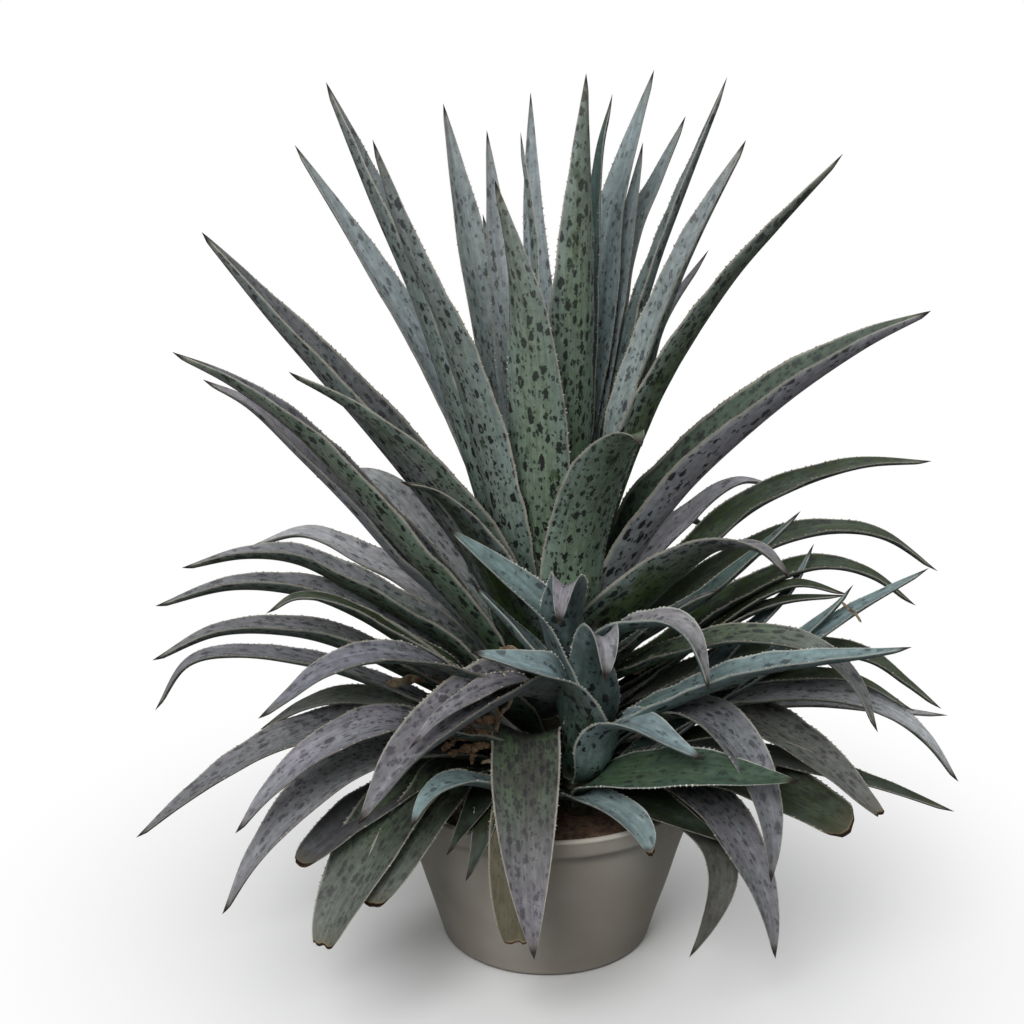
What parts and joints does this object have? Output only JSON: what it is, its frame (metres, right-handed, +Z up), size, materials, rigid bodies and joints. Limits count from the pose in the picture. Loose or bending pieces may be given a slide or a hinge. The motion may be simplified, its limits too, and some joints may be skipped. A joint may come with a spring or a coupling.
{
  "type": "potted mangave plant",
  "caption": "Spotted, toothed succulent rosette with arching channelled leaves and a small offset, growing in a plain tapered stoneware pot.",
  "frame": {"origin": "centre of the pot's flat base", "axes": "+Z up along the pot's axis; -Y towards the front, where the offset grows; +X to the right seen from the front"},
  "size_m": [0.8925, 0.6385, 0.997],
  "materials": {
    "stoneware": "matte",
    "soil": "matte",
    "stem": "matte",
    "leaf": "matte",
    "offset_leaf": "matte"
  },
  "bodies": {
    "root": {"pot": "stoneware", "soil": "soil", "stem": "stem", "offset": "offset_leaf", "leaf_01": "leaf", "leaf_02": "leaf", "leaf_03": "leaf", "leaf_04": "leaf", "leaf_05": "leaf", "leaf_06": "leaf", "leaf_07": "leaf", "leaf_08": "leaf", "leaf_09": "leaf", "leaf_10": "leaf", "leaf_11": "leaf", "leaf_12": "leaf", "leaf_13": "leaf", "leaf_14": "leaf", "leaf_15": "leaf", "leaf_16": "leaf", "leaf_17": "leaf", "leaf_18": "leaf", "leaf_19": "leaf", "leaf_20": "leaf", "leaf_21": "leaf", "leaf_22": "leaf", "leaf_23": "leaf", "leaf_24": "leaf", "leaf_25": "leaf", "leaf_26": "leaf", "leaf_27": "leaf", "leaf_28": "leaf", "leaf_29": "leaf", "leaf_30": "leaf", "leaf_31": "leaf", "leaf_32": "leaf", "leaf_33": "leaf", "leaf_34": "leaf", "leaf_35": "leaf", "leaf_36": "leaf", "leaf_37": "leaf", "leaf_38": "leaf", "leaf_39": "leaf", "leaf_40": "leaf", "leaf_41": "leaf", "leaf_42": "leaf", "leaf_43": "leaf", "leaf_44": "leaf", "leaf_45": "leaf", "leaf_46": "leaf", "leaf_47": "leaf", "leaf_48": "leaf", "leaf_49": "leaf", "leaf_50": "leaf", "leaf_51": "leaf", "leaf_52": "leaf", "leaf_53": "leaf", "leaf_54": "leaf", "leaf_55": "leaf", "leaf_56": "leaf"}
  },
  "joints": []
}
